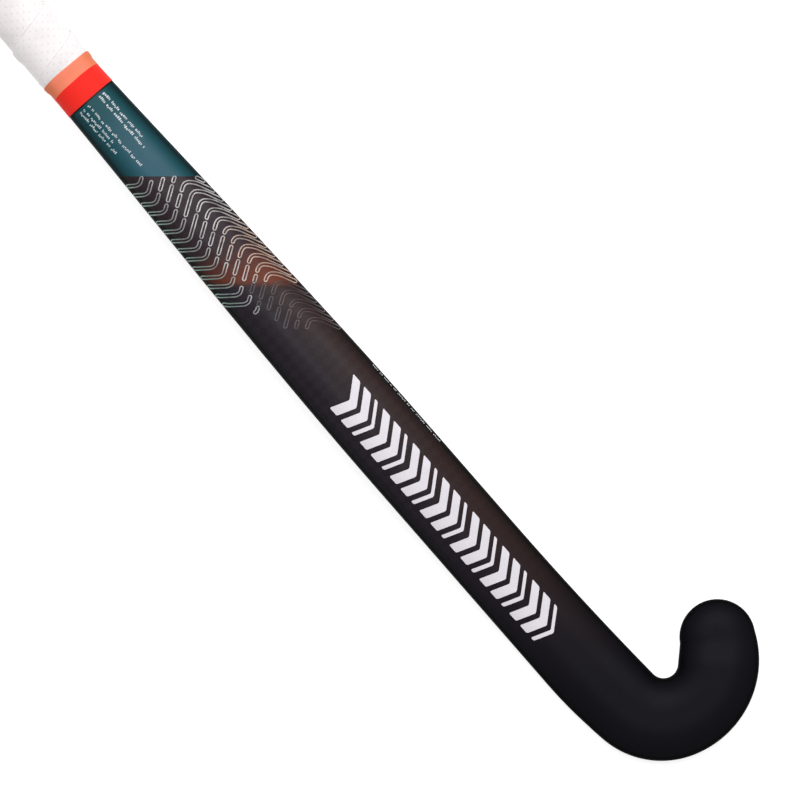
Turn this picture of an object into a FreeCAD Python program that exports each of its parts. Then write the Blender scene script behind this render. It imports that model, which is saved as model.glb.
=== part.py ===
import FreeCAD, Part
import math
import os

# A field hockey stick that lies on its flat playing face.
# +X runs from the butt to the head, +Y from the heel to the toe, +Z is up, out of the rounded back.
# The origin is on the resting surface, under the middle of the whole stick's box.
# Lengths along the stick ("reach") count from the lowest point of the head towards the butt.
# Widths ("across") count from the shaft's midline, and are positive towards the toe.

doc = FreeCAD.newDocument("field_hockey_stick")

DRIVING_SIZES = [
    ("stick_length", 927.0, "whole length, head to butt"),
    ("shaft_width", 49.2, "lower shaft, across the flat face"),
    ("shaft_thickness", 22.0, "lower shaft, face to back"),
    ("handle_width", 29.5, "bare handle, across"),
    ("handle_thickness", 26.5, "bare handle, face to back"),
    ("taper_start", 260.0, "reach where the shaft starts to narrow"),
    ("taper_end", 680.0, "reach where the handle has its full slimness"),
    ("bow_height", 20.0, "highest gap under the bowed face"),
    ("bow_foot", 80.0, "reach where the head's flat ends"),
    ("bow_crest", 300.0, "reach of the highest gap"),
    ("handle_start", 560.0, "reach where the handle turns straight"),
    ("crown_radius", 62.5, "outer curve of the head"),
    ("crown_across", 35.6, "its centre, across"),
    ("heel_radius", 54.5, "outer curve at the heel"),
    ("heel_turn", 199.5, "angle where the heel curve leaves the crown curve"),
    ("heel_blend_radius", 320.0, "long curve from the heel to the shaft"),
    ("toe_radius", 23.1, "round end of the toe"),
    ("toe_turn", 111.0, "angle where the toe curve leaves the crown curve"),
    ("toe_thickness", 20.0, "toe, face to back"),
    ("throat_radius", 8.8, "inside curve of the hook"),
    ("throat_reach", 57.6, "its centre, reach"),
    ("throat_across", 37.0, "its centre, across"),
    ("flare_start", 182.0, "reach where the toe side of the shaft starts to flare"),
    ("face_round", 4.2, "rounding along the flat face"),
    ("skin_wall", 1.6, "outer laminate"),
    ("tube_wall", 1.1, "inner laminate tube"),
    ("patch_thickness", 1.4, "face reinforcement in the head"),
    ("patch_end", 96.0, "reach where the face reinforcement stops"),
    ("face_lap", 0.3, "material lapped off under the head to make its face flat"),
    ("core_end", 106.0, "reach where the head core stops and the tubes start"),
    ("tube_end", 832.0, "reach where the tubes stop"),
    ("damper_end", 879.5, "reach where the gel damper stops"),
    ("cap_thickness", 2.5, "butt cap's disc"),
    ("stud_radius", 4.0, "butt cap's stud"),
    ("stud_length", 16.0, "butt cap's stud, into the plug"),
    ("underwrap", 0.6, "foam tape under the grip"),
    ("grip", 1.9, "cushioned grip"),
    ("grip_end", 566.0, "reach of the grip's lower edge"),
    ("tape_end", 559.0, "reach of the finishing tape's lower edge"),
    ("band_end", 545.7, "reach of the coloured band's lower edge"),
    ("tape", 0.3, "finishing tape and coloured band"),
    ("clear_width", 160.0, "half width of the cutting boxes"),
    ("clear_depth", 20.0, "how far the cutting boxes reach below the surface"),
    ("clear_height", 120.0, "height of the cutting boxes"),
]

sheet = doc.addObject("Spreadsheet::Sheet", "Dims")
for row, (alias, value, meaning) in enumerate(DRIVING_SIZES, start=1):
    sheet.set("A%d" % row, alias)
    sheet.set("B%d" % row, str(value))
    sheet.setAlias("B%d" % row, alias)
    sheet.set("C%d" % row, meaning)
doc.recompute()


def size(alias):
    return float(getattr(sheet, alias))


HALF_LENGTH = size("stick_length") / 2.0
HALF_WIDTH = size("shaft_width") / 2.0
CROWN = (size("crown_radius"), size("crown_across"))
THROAT = (size("throat_reach"), size("throat_across"))


def from_point(centre, distance, angle):
    """The plan point at a distance and an angle in degrees from a centre."""
    turn = math.radians(angle)
    return (centre[0] + distance * math.cos(turn), centre[1] + distance * math.sin(turn))


# The outer outline of the head is three arcs that touch one another smoothly.
HEEL = from_point(CROWN, size("crown_radius") - size("heel_radius"), size("heel_turn"))
TOE = from_point(CROWN, size("crown_radius") - size("toe_radius"), size("toe_turn"))
BLEND_RUN = math.sqrt(
    (size("heel_blend_radius") - size("heel_radius")) ** 2
    - (size("heel_blend_radius") - HALF_WIDTH - HEEL[1]) ** 2
)
BLEND = (HEEL[0] + BLEND_RUN, size("heel_blend_radius") - HALF_WIDTH)

# The midline of the shaft lies off the middle of the box, because the toe sticks out to one side.
TOE_TOP = TOE[1] + size("toe_radius")
MIDLINE_Y = -(TOE_TOP - HALF_WIDTH) / 2.0

# The toe side of the shaft flares on a long arc that runs into the throat.
THROAT_DROP = size("throat_across") - HALF_WIDTH
FLARE_RUN = size("flare_start") - size("throat_reach")
FLARE_RADIUS = (
    FLARE_RUN**2 / (THROAT_DROP - size("throat_radius")) + size("throat_radius") + THROAT_DROP
) / 2.0


def smooth_step(share):
    """0 to 1 with level ends."""
    share = min(max(share, 0.0), 1.0)
    return share * share * (3.0 - 2.0 * share)


def handle_share(reach):
    """0 on the lower shaft, 1 on the handle."""
    run = size("taper_end") - size("taper_start")
    return smooth_step((reach - size("taper_start")) / run)


def between(low, high, share):
    return low + (high - low) * share


def bow(reach):
    """Height of the face above the resting surface: flat head, crest, straight handle."""
    butt_lift = size("underwrap") + size("grip") + size("face_lap")
    bend_run = size("handle_start") - size("bow_crest")
    straight_run = size("stick_length") - size("handle_start")
    slope = (size("bow_height") - butt_lift) / (bend_run / 2.0 + straight_run)
    if reach <= size("bow_crest"):
        climb = size("bow_crest") - size("bow_foot")
        return size("bow_height") * smooth_step((reach - size("bow_foot")) / climb)
    past_crest = reach - size("bow_crest")
    if reach <= size("handle_start"):
        return size("bow_height") - slope * past_crest**2 / (2.0 * bend_run)
    return size("bow_height") - slope * (bend_run / 2.0 + reach - size("handle_start"))


def heel_edge(reach):
    """Across position of the shaft's heel-side edge."""
    if reach < BLEND[0]:
        return BLEND[1] - math.sqrt(size("heel_blend_radius") ** 2 - (BLEND[0] - reach) ** 2)
    return -between(HALF_WIDTH, size("handle_width") / 2.0, handle_share(reach))


def toe_edge(reach):
    """Across position of the shaft's toe-side edge."""
    if reach < size("flare_start"):
        run = size("flare_start") - reach
        return HALF_WIDTH + FLARE_RADIUS - math.sqrt(FLARE_RADIUS**2 - run**2)
    return between(HALF_WIDTH, size("handle_width") / 2.0, handle_share(reach))


def ray_to_circle(start, angle, centre, radius):
    """The plan point where a ray from inside a circle leaves it."""
    turn = math.radians(angle)
    along = (start[0] - centre[0]) * math.cos(turn) + (start[1] - centre[1]) * math.sin(turn)
    apart = (start[0] - centre[0]) ** 2 + (start[1] - centre[1]) ** 2
    return from_point(start, -along + math.sqrt(along**2 - apart + radius**2), angle)


def hook_outer_point(angle):
    """Where a ray from the throat's centre meets the outer outline of the head."""
    point = ray_to_circle(THROAT, angle, CROWN, size("crown_radius"))
    turn = math.degrees(math.atan2(point[1] - CROWN[1], point[0] - CROWN[0])) % 360.0
    if turn <= size("heel_turn"):
        return point
    point = ray_to_circle(THROAT, angle, HEEL, size("heel_radius"))
    if (point[0] - HEEL[0]) * (BLEND[1] - HEEL[1]) < (point[1] - HEEL[1]) * (BLEND[0] - HEEL[0]):
        return point
    return ray_to_circle(THROAT, angle, BLEND, size("heel_blend_radius"))


def row_point(plan_point, height):
    """A plan point and a height as a point of the part's own frame."""
    return FreeCAD.Vector(HALF_LENGTH - plan_point[0], MIDLINE_Y + plan_point[1], height)


QUARTER_PULL = 0.5523

# Shares of the width and thickness taken up by the rounded corners, on the shaft and on the handle.
HANDLE_FACE_SHARES = (0.42, 0.40)
SHAFT_BACK_SHARES = (0.40, 0.62)
HANDLE_BACK_SHARES = (0.46, 0.50)


def quarter(start, corner, end):
    """A quarter ellipse that touches start-corner and corner-end, as one cubic."""
    pull = QUARTER_PULL
    curve = Part.BezierCurve()
    curve.setPoles([start, start + (corner - start) * pull, end + (corner - end) * pull, end])
    return curve.toShape()


class Section:
    """One cross-section, upright, between two plan points: flat face below, round back above."""

    def __init__(self, heel_point, toe_point, floor, thickness, roundness, offset):
        self.heel = FreeCAD.Vector(heel_point[0], heel_point[1], 0.0)
        self.toe = FreeCAD.Vector(toe_point[0], toe_point[1], 0.0)
        self.width = (self.toe - self.heel).Length + 2.0 * offset
        self.middle = (self.toe + self.heel) * 0.5
        self.across = (self.toe - self.heel).normalize()
        self.floor = floor - offset
        self.top = floor + thickness + offset
        bare_width = self.width - 2.0 * offset
        handle_w, handle_h = HANDLE_FACE_SHARES[0] * bare_width, HANDLE_FACE_SHARES[1] * thickness
        back_shares = [
            between(low, high, roundness) for low, high in zip(SHAFT_BACK_SHARES, HANDLE_BACK_SHARES)
        ]
        self.face_w = between(size("face_round"), handle_w, roundness) + offset
        self.face_h = between(size("face_round"), handle_h, roundness) + offset
        self.back_w = back_shares[0] * bare_width + offset
        self.back_h = back_shares[1] * thickness + offset

    def at(self, across, height):
        plan = self.middle + self.across * across
        return row_point((plan.x, plan.y), height)

    def side(self, way):
        """The edges up one side: the rounding at the face, the wall and the rounded back."""
        half = way * self.width / 2.0
        face_in = half - way * self.face_w
        back_in = half - way * self.back_w
        face_top = self.floor + self.face_h
        back_low = self.top - self.back_h
        lower = quarter(self.at(face_in, self.floor), self.at(half, self.floor), self.at(half, face_top))
        upper = quarter(self.at(half, back_low), self.at(half, self.top), self.at(back_in, self.top))
        wall = Part.makeLine(self.at(half, face_top), self.at(half, back_low))
        return [lower, wall, upper]

    def wire(self):
        face = self.width / 2.0 - self.face_w
        back = self.width / 2.0 - self.back_w
        bottom = Part.makeLine(self.at(-face, self.floor), self.at(face, self.floor))
        top = Part.makeLine(self.at(back, self.top), self.at(-back, self.top))
        around = [bottom] + self.side(1) + [top] + self.side(-1)[::-1]
        return Part.Wire(Part.__sortEdges__(around))

    def half_face(self):
        """The half on the heel's side, closed along the upright through the middle."""
        face = self.width / 2.0 - self.face_w
        back = self.width / 2.0 - self.back_w
        bottom = Part.makeLine(self.at(0, self.floor), self.at(-face, self.floor))
        top = Part.makeLine(self.at(-back, self.top), self.at(0, self.top))
        upright = Part.makeLine(self.at(0, self.top), self.at(0, self.floor))
        return Part.Face(Part.Wire(Part.__sortEdges__([bottom, top, upright] + self.side(-1))))


def shaft_section(reach, offset):
    share = handle_share(reach)
    return Section(
        (reach, heel_edge(reach)),
        (reach, toe_edge(reach)),
        bow(reach) - size("face_lap"),
        between(size("shaft_thickness"), size("handle_thickness"), share) + size("face_lap"),
        share,
        offset,
    )


# The inner line of the toe touches the throat and the toe's round end, on opposite sides.
TOE_OFFSET = (TOE[0] - THROAT[0], TOE[1] - THROAT[1])
TOE_LEAN = math.degrees(math.atan2(TOE_OFFSET[1], TOE_OFFSET[0])) - math.degrees(
    math.asin((size("throat_radius") + size("toe_radius")) / math.hypot(*TOE_OFFSET))
)
TOE_TURN_SHARE = 0.44
TOE_SECTION_ANGLE = between(size("toe_turn"), TOE_LEAN + 90.0, TOE_TURN_SHARE)
TOE_RUN_IN = 7.0
TOE_THINNING = 0.2


def hook_section(angle, offset):
    """A section on a ray from the throat's centre."""
    outer = hook_outer_point(angle)
    inner = from_point(THROAT, size("throat_radius"), angle)
    return head_section(outer, inner, size("shaft_thickness"), offset)


def head_section(outer, inner, thickness, offset):
    floor = -size("face_lap")
    return Section(outer, inner, floor, thickness + size("face_lap"), 0.0, offset)


def toe_section(run_in, offset):
    """A section through the toe's centre, or a little before it."""
    centre = from_point(TOE, -run_in, TOE_SECTION_ANGLE - 90.0)
    outer = from_point(centre, size("toe_radius"), TOE_SECTION_ANGLE)
    inner = from_point(centre, -size("toe_radius"), TOE_SECTION_ANGLE)
    full_share = run_in / TOE_RUN_IN * TOE_THINNING
    thickness = between(size("toe_thickness"), size("shaft_thickness"), full_share)
    return head_section(outer, inner, thickness, offset)


SHAFT_STATIONS = [927, 860, 800, 740, 680, 640, 600, 560, 520, 480, 440, 400, 360, 320, 290, 260]
SHAFT_STATIONS += [235, 210, 190, 170, 150, 130, 112, 96, 82, 70]
TRIM_LENGTH = 1.0  # how much longer the tapes' master form is than the tapes cut from it
HOOK_ANGLES = [266, 250, 234, 218, 202, 186, 170, 154, TOE_LEAN + 90.0]


def stick_form(offset):
    """The whole stick as one solid, its surface moved out by the offset (in, where negative)."""
    sections = [shaft_section(reach, offset) for reach in SHAFT_STATIONS]
    sections += [hook_section(angle, offset) for angle in HOOK_ANGLES]
    sections += [toe_section(run_in, offset) for run_in in (TOE_RUN_IN, 0.0)]
    body = Part.makeLoft([section.wire() for section in sections], True, False)
    axis_foot = row_point(TOE, 0.0)
    toe_end = sections[-1].half_face().revolve(axis_foot, FreeCAD.Vector(0, 0, 1), 180.0)
    return body.fuse(toe_end).removeSplitter()


def sleeve_form(offset, low, high):
    """A stretch of the handle or shaft as one solid, grown by the offset."""
    inside = [reach for reach in SHAFT_STATIONS if low < reach < high]
    reaches = [high] + inside + [low]
    wires = [shaft_section(reach, offset).wire() for reach in reaches]
    return Part.makeLoft(wires, True, False)


def form(name, shape):
    """A master form that the sub-parts are cut from."""
    made = doc.addObject("Part::Feature", name)
    made.Shape = shape
    return made


def cutting_box(name, expressions):
    """A box bound to the sheet. What is not given spans the whole stick."""
    made = doc.addObject("Part::Box", name)
    spans = {
        "Length": "Dims.stick_length + 2 * Dims.clear_depth",
        "Width": "2 * Dims.clear_width",
        "Height": "Dims.clear_height",
        "Placement.Base.x": "-Dims.stick_length / 2 - Dims.clear_depth",
        "Placement.Base.y": "-Dims.clear_width",
        "Placement.Base.z": "-Dims.clear_depth",
    }
    spans.update(expressions)
    for field, expression in spans.items():
        made.setExpression(field, expression)
    return made


def stretch_box(name, near, far):
    """A box across the stick between two reaches, given as expressions."""
    return cutting_box(
        name,
        {
            "Length": "(%s) - (%s)" % (far, near),
            "Placement.Base.x": "Dims.stick_length / 2 - (%s)" % far,
        },
    )


def common(name, base, tool):
    made = doc.addObject("Part::Common", name)
    made.Base = base
    made.Tool = tool
    return made


def cut(name, base, tool):
    made = doc.addObject("Part::Cut", name)
    made.Base = base
    made.Tool = tool
    return made


def fuse(name, base, tool):
    made = doc.addObject("Part::Fuse", name)
    made.Base = base
    made.Tool = tool
    return made


subparts = []


def keep(made, label):
    made.Label = label
    subparts.append(made)
    return made


# Master forms: the stick's outside, the inside of its skin, and the inside of the inner tubes.
outside = form("outside_form", stick_form(0.0))
skin_inside = form("skin_inside_form", stick_form(-size("skin_wall")))
tube_inside = form("tube_inside_form", stick_form(-size("skin_wall") - size("tube_wall")))
past_butt = size("stick_length")
grip_lining = size("underwrap")
underwrap_outside = form(
    "underwrap_form", sleeve_form(grip_lining, size("grip_end") - size("tape"), past_butt)
)
grip_outside = form(
    "grip_form",
    sleeve_form(grip_lining + size("grip"), size("grip_end") - size("tape"), past_butt),
)
tape_outside = form(
    "tape_form",
    sleeve_form(size("tape"), size("band_end") - TRIM_LENGTH, size("grip_end") + TRIM_LENGTH),
)

# Laminated skin: hollow, open at the butt, its face lapped flat under the head.
above_face = cutting_box(
    "above_face",
    {
        "Placement.Base.z": "0",
        "Length": "Dims.stick_length - Dims.cap_thickness + Dims.clear_depth",
        "Placement.Base.x": "-Dims.stick_length / 2 + Dims.cap_thickness",
    },
)
skin_solid = common("skin_solid", outside, above_face)
keep(cut("skin", skin_solid, skin_inside), "outer_shell")

# The head holds a reinforcement over the face and a core that fills the rest.
head_stretch = stretch_box("head_stretch", "-Dims.clear_depth", "Dims.core_end")
head_inside = common("head_inside", skin_inside, head_stretch)
patch_slab = cutting_box(
    "patch_slab",
    {
        "Length": "Dims.patch_end + Dims.clear_depth",
        "Placement.Base.x": "Dims.stick_length / 2 - Dims.patch_end",
        "Height": "Dims.clear_depth + Dims.skin_wall - Dims.face_lap + Dims.patch_thickness",
    },
)
keep(common("patch", head_inside, patch_slab), "face_patch")
keep(cut("core", head_inside, patch_slab), "head_core")


def half_tube(side):
    """An inner tube on one side of the midline and the foam that fills it."""
    tube_box = stretch_box(side + "_tube_box", "Dims.core_end", "Dims.tube_end")
    foam_box = stretch_box(side + "_foam_box", "Dims.core_end", "Dims.tube_end")
    midline = repr(MIDLINE_Y)
    if side == "toe_side":
        tube_box.setExpression("Placement.Base.y", midline)
        foam_box.setExpression("Placement.Base.y", midline + " + Dims.tube_wall")
    else:
        tube_box.setExpression("Placement.Base.y", midline + " - 2 * Dims.clear_width")
        foam_box.setExpression("Placement.Base.y", midline + " - 2 * Dims.clear_width - Dims.tube_wall")
    foam = keep(common(side + "_filling", tube_inside, foam_box), side + "_foam")
    tube_solid = common(side + "_tube_solid", skin_inside, tube_box)
    keep(cut(side + "_laminate", tube_solid, foam), side + "_tube")


half_tube("toe_side")
half_tube("heel_side")

# The handle's end: gel damper, plug with a bore, and a butt cap whose stud sits in the bore.
damper_stretch = stretch_box("damper_stretch", "Dims.tube_end", "Dims.damper_end")
keep(common("damper", skin_inside, damper_stretch), "gel_damper")

shell_end = "Dims.stick_length - Dims.cap_thickness"
plug_stretch = stretch_box("plug_stretch", "Dims.damper_end", shell_end)
plug_solid = common("plug_solid", skin_inside, plug_stretch)
stud = doc.addObject("Part::Cylinder", "stud")
stud.Placement = FreeCAD.Placement(
    FreeCAD.Vector(0, MIDLINE_Y, bow(size("stick_length")) + size("handle_thickness") / 2.0),
    FreeCAD.Rotation(FreeCAD.Vector(0, 1, 0), 90),
)
stud.setExpression("Placement.Base.x", "-Dims.stick_length / 2")
stud.setExpression("Radius", "Dims.stud_radius")
stud.setExpression("Height", "Dims.cap_thickness + Dims.stud_length")
keep(cut("plug", plug_solid, stud), "handle_plug")

cap_stretch = stretch_box("cap_stretch", shell_end, "Dims.stick_length")
cap_disc = common("cap_disc", outside, cap_stretch)
keep(fuse("cap", cap_disc, stud), "end_cap")

# Sleeves on the handle, each cut by what it is wrapped on.
grip_stretch = stretch_box("grip_stretch", "Dims.grip_end", "Dims.stick_length")
underwrap_solid = common("underwrap_solid", underwrap_outside, grip_stretch)
keep(cut("underwrap_sleeve", underwrap_solid, outside), "grip_underwrap")
grip_solid = common("grip_solid", grip_outside, grip_stretch)
keep(cut("grip_sleeve", grip_solid, underwrap_outside), "grip_wrap")

tape_stretch = stretch_box("tape_stretch", "Dims.tape_end", "Dims.grip_end")
tape_solid = common("tape_solid", tape_outside, tape_stretch)
keep(cut("tape_sleeve", tape_solid, outside), "finishing_tape")
band_stretch = stretch_box("band_stretch", "Dims.band_end", "Dims.tape_end")
band_solid = common("band_solid", tape_outside, band_stretch)
keep(cut("band_sleeve", band_solid, outside), "collar_band")

doc.recompute()

for made in doc.Objects:
    if "Invalid" in made.State or "Error" in made.State:
        raise RuntimeError("%s did not recompute: %s" % (made.Name, made.State))

os.makedirs("parts", exist_ok=True)
for made in subparts:
    shape = made.Shape
    if shape.isNull() or not shape.isValid():
        raise RuntimeError("%s has no valid shape" % made.Label)
    if len(shape.Solids) != 1:
        raise RuntimeError("%s has %d solids" % (made.Label, len(shape.Solids)))
    shape.exportStep("parts/%s.step" % made.Label)
    print(made.Label, "%.1f cm3" % (shape.Volume / 1000.0), made.Placement.Base)
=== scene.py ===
import bisect
import bmesh
import bpy
import math
import random
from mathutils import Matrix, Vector


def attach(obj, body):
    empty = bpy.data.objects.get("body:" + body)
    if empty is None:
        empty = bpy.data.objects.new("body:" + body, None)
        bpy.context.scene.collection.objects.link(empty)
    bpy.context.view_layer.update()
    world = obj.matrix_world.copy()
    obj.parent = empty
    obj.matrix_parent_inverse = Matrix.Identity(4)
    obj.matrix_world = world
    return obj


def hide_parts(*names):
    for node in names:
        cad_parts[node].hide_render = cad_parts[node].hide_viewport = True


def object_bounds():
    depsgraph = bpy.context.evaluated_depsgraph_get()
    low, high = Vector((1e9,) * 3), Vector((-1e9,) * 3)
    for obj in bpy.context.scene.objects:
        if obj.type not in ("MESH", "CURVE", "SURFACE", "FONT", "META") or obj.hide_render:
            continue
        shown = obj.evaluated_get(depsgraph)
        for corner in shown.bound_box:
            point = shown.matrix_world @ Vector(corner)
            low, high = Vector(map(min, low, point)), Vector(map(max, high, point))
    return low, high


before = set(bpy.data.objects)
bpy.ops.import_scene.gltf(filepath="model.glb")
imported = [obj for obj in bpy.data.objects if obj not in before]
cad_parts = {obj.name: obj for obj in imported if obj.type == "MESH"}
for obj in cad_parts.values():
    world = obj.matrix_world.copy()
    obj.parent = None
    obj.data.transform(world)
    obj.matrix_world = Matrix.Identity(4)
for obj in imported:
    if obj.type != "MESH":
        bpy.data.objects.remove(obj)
cadLow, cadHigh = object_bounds()
random.seed(11)

# Sizes are in millimetres. Reach counts along the stick from the head's far end to the butt,
# and across counts from the shaft's midline, positive towards the toe.
stick = dict(
    length=1000 * (cadHigh.x - cadLow.x),
    shaftWidth=49.2, shaftThickness=22.0, handleWidth=29.5, handleThickness=26.5,
    taperStart=260.0, taperEnd=680.0,
    bowHeight=20.0, bowFoot=80.0, bowCrest=300.0, handleStart=560.0, buttLift=2.8,
    crownRadius=62.5, crownAcross=35.6, heelRadius=54.5, heelTurn=199.5, heelBlendRadius=320.0,
    toeRadius=23.1, toeTurn=111.0, toeTurnShare=0.44, toeThickness=20.0,
    throatRadius=8.8, throatReach=57.6, throatAcross=37.0, flareStart=182.0,
    faceRound=4.2, faceLap=0.3, wall=1.6, capThickness=2.5,
)
halfLength = stick["length"] / 2
halfWidth = stick["shaftWidth"] / 2
crown = Vector((stick["crownRadius"], stick["crownAcross"]))
throat = Vector((stick["throatReach"], stick["throatAcross"]))


def mix(low, high, share):
    return low + (high - low) * share


def fromPoint(centre, distance, degrees):
    turn = math.radians(degrees)
    return Vector((centre[0] + distance * math.cos(turn), centre[1] + distance * math.sin(turn)))


heel = fromPoint(crown, stick["crownRadius"] - stick["heelRadius"], stick["heelTurn"])
toe = fromPoint(crown, stick["crownRadius"] - stick["toeRadius"], stick["toeTurn"])
blendRise = stick["heelBlendRadius"] - halfWidth
blendRun = math.sqrt((stick["heelBlendRadius"] - stick["heelRadius"]) ** 2 - (blendRise - heel.y) ** 2)
blend = Vector((heel.x + blendRun, blendRise))
midlineY = -(toe.y + stick["toeRadius"] - halfWidth) / 2
throatDrop = throat.y - halfWidth
flareRun = stick["flareStart"] - throat.x
flareRadius = (flareRun ** 2 / (throatDrop - stick["throatRadius"]) + stick["throatRadius"] + throatDrop) / 2
toeOffset = toe - throat
toeLean = math.degrees(
    math.atan2(toeOffset.y, toeOffset.x)
    - math.asin((stick["throatRadius"] + stick["toeRadius"]) / toeOffset.length)
)
toeSectionAngle = mix(stick["toeTurn"], toeLean + 90, stick["toeTurnShare"])


def smoothStep(share):
    share = min(max(share, 0.0), 1.0)
    return share * share * (3 - 2 * share)


def handleShare(reach):    # 0 on the lower shaft, 1 on the handle
    return smoothStep((reach - stick["taperStart"]) / (stick["taperEnd"] - stick["taperStart"]))


def bow(reach):    # height of the face over the floor
    bendRun = stick["handleStart"] - stick["bowCrest"]
    slope = (stick["bowHeight"] - stick["buttLift"]) / (bendRun / 2 + stick["length"] - stick["handleStart"])
    if reach <= stick["bowCrest"]:
        climb = (reach - stick["bowFoot"]) / (stick["bowCrest"] - stick["bowFoot"])
        return stick["bowHeight"] * smoothStep(climb)
    if reach <= stick["handleStart"]:
        return stick["bowHeight"] - slope * (reach - stick["bowCrest"]) ** 2 / (2 * bendRun)
    return stick["bowHeight"] - slope * (bendRun / 2 + reach - stick["handleStart"])


def heelEdge(reach):
    if reach < blend.x:
        return blend.y - math.sqrt(stick["heelBlendRadius"] ** 2 - (blend.x - reach) ** 2)
    return -mix(halfWidth, stick["handleWidth"] / 2, handleShare(reach))


def toeEdge(reach):
    if reach < stick["flareStart"]:
        return halfWidth + flareRadius - math.sqrt(flareRadius ** 2 - (stick["flareStart"] - reach) ** 2)
    return mix(halfWidth, stick["handleWidth"] / 2, handleShare(reach))


def rayToCircle(start, degrees, centre, radius):
    turn = math.radians(degrees)
    away = start - centre
    along = away.x * math.cos(turn) + away.y * math.sin(turn)
    return fromPoint(start, -along + math.sqrt(along ** 2 - away.length_squared + radius ** 2), degrees)


def hookOuterPoint(degrees):
    point = rayToCircle(throat, degrees, crown, stick["crownRadius"])
    if math.degrees(math.atan2(point.y - crown.y, point.x - crown.x)) % 360 <= stick["heelTurn"]:
        return point
    point = rayToCircle(throat, degrees, heel, stick["heelRadius"])
    if (point.x - heel.x) * (blend.y - heel.y) < (point.y - heel.y) * (blend.x - heel.x):
        return point
    return rayToCircle(throat, degrees, blend, stick["heelBlendRadius"])


def rowPoint(reach, across, height):    # millimetres on the stick to metres in the frame
    return Vector((halfLength - reach, midlineY + across, height)) / 1000


# the number of steps in each part of half a section, from the middle of the face to the crest
halfSteps = dict(face=7, faceCorner=6, wall=2, back=15, crest=3)
halfCount = sum(halfSteps.values())
ringCount = 2 * halfCount


def straight(start, end, steps):
    return [start.lerp(end, step / steps) for step in range(steps)]


def quarterTurn(start, corner, end, steps):
    centre = start + end - corner
    turns = [math.pi / 2 * step / steps for step in range(steps)]
    return [centre + (start - centre) * math.cos(t) + (end - centre) * math.sin(t) for t in turns]


# a ring of (across, height) points: middle of the face, toe side, crest, heel side
def sectionOutline(width, thickness, share, grow=0.0):
    half = width / 2
    faceW = mix(stick["faceRound"], 0.42 * width, share)
    faceH = mix(stick["faceRound"], 0.40 * thickness, share)
    backW = mix(0.40, 0.46, share) * width
    backH = mix(0.62, 0.50, share) * thickness
    low, high, side = -grow, thickness + grow, half + grow
    corner = Vector((side, low)), Vector((side, high))
    faceIn, faceTop = Vector((half - faceW, low)), Vector((side, faceH))
    backLow, backIn = Vector((side, thickness - backH)), Vector((half - backW, high))
    points = straight(Vector((0, low)), faceIn, halfSteps["face"])
    points += quarterTurn(faceIn, corner[0], faceTop, halfSteps["faceCorner"])
    points += straight(faceTop, backLow, halfSteps["wall"])
    points += quarterTurn(backLow, corner[1], backIn, halfSteps["back"])
    points += straight(backIn, Vector((0, high)), halfSteps["crest"])
    points.append(Vector((0, high)))
    return points + [Vector((-p.x, p.y)) for p in points[-2:0:-1]]


# the ring of one upright section between two plan points, in metres, with its face lapped flat at the floor
def planRing(heelPoint, toePoint, floor, thickness, share, grow=0.0):
    middle = (heelPoint + toePoint) / 2
    direction = (toePoint - heelPoint).normalized()
    outline = sectionOutline((toePoint - heelPoint).length, thickness, share, grow)
    plan = [middle + direction * p.x for p in outline]
    return [rowPoint(q.x, q.y, max(floor + p.y, 0.0)) for p, q in zip(outline, plan)]


def shaftRing(reach, grow=0.0):
    share = handleShare(reach)
    thickness = mix(stick["shaftThickness"], stick["handleThickness"], share) + stick["faceLap"]
    ends = Vector((reach, heelEdge(reach))), Vector((reach, toeEdge(reach)))
    return planRing(*ends, bow(reach) - stick["faceLap"], thickness, share, grow)


def hookRing(degrees):
    inner = fromPoint(throat, stick["throatRadius"], degrees)
    thickness = stick["shaftThickness"] + stick["faceLap"]
    return planRing(hookOuterPoint(degrees), inner, -stick["faceLap"], thickness, 0.0)


def toeRing(share):    # from the throat's curve, at 0, to the toe's round end, at 1
    start = hookOuterPoint(toeLean + 90) - crown
    end = fromPoint(toe, stick["toeRadius"], toeSectionAngle) - crown
    turns = [math.degrees(math.atan2(point.y, point.x)) for point in (start, end)]
    outer = fromPoint(crown, mix(start.length, end.length, share), mix(*turns, share))
    throatEnd = fromPoint(throat, stick["throatRadius"], toeLean + 90)
    inner = throatEnd.lerp(fromPoint(toe, -stick["toeRadius"], toeSectionAngle), share)
    thickness = mix(stick["shaftThickness"], stick["toeThickness"], smoothStep(share)) + stick["faceLap"]
    return planRing(outer, inner, -stick["faceLap"], thickness, 0.0)


def ringLengths(points):    # distances round a ring from the crest, positive towards the toe, in metres
    lengths = [0.0] * len(points)
    for index in range(halfCount - 1, -1, -1):
        lengths[index] = lengths[index + 1] + (points[index] - points[index + 1]).length
    for index in range(halfCount + 1, len(points)):
        lengths[index] = lengths[index - 1] - (points[index] - points[index - 1]).length
    return lengths


skinRings = {}    # rings that were already worked out


def skinRing(reach, lift):
    key = reach, round(lift, 4)
    if key not in skinRings:
        lengths = [-1000 * value for value in ringLengths(shaftRing(reach))]
        skinRings[key] = lengths, shaftRing(reach, lift)
    return skinRings[key]


# a point on the shaft's skin: around is the distance from the crest, positive towards the toe
def skinPoint(reach, around, lift=0.0):
    ends = []
    for whole in (math.floor(reach), math.floor(reach) + 1):
        lengths, points = skinRing(whole, lift)
        index = min(max(bisect.bisect(lengths, -around), 1), len(points) - 1)
        share = (-around - lengths[index - 1]) / (lengths[index] - lengths[index - 1])
        ends.append(points[index - 1].lerp(points[index], share))
    return ends[0].lerp(ends[1], reach - math.floor(reach))


edgeStretch = 1.6    # past the waves' edge, how far round the skin goes for each step across


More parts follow.
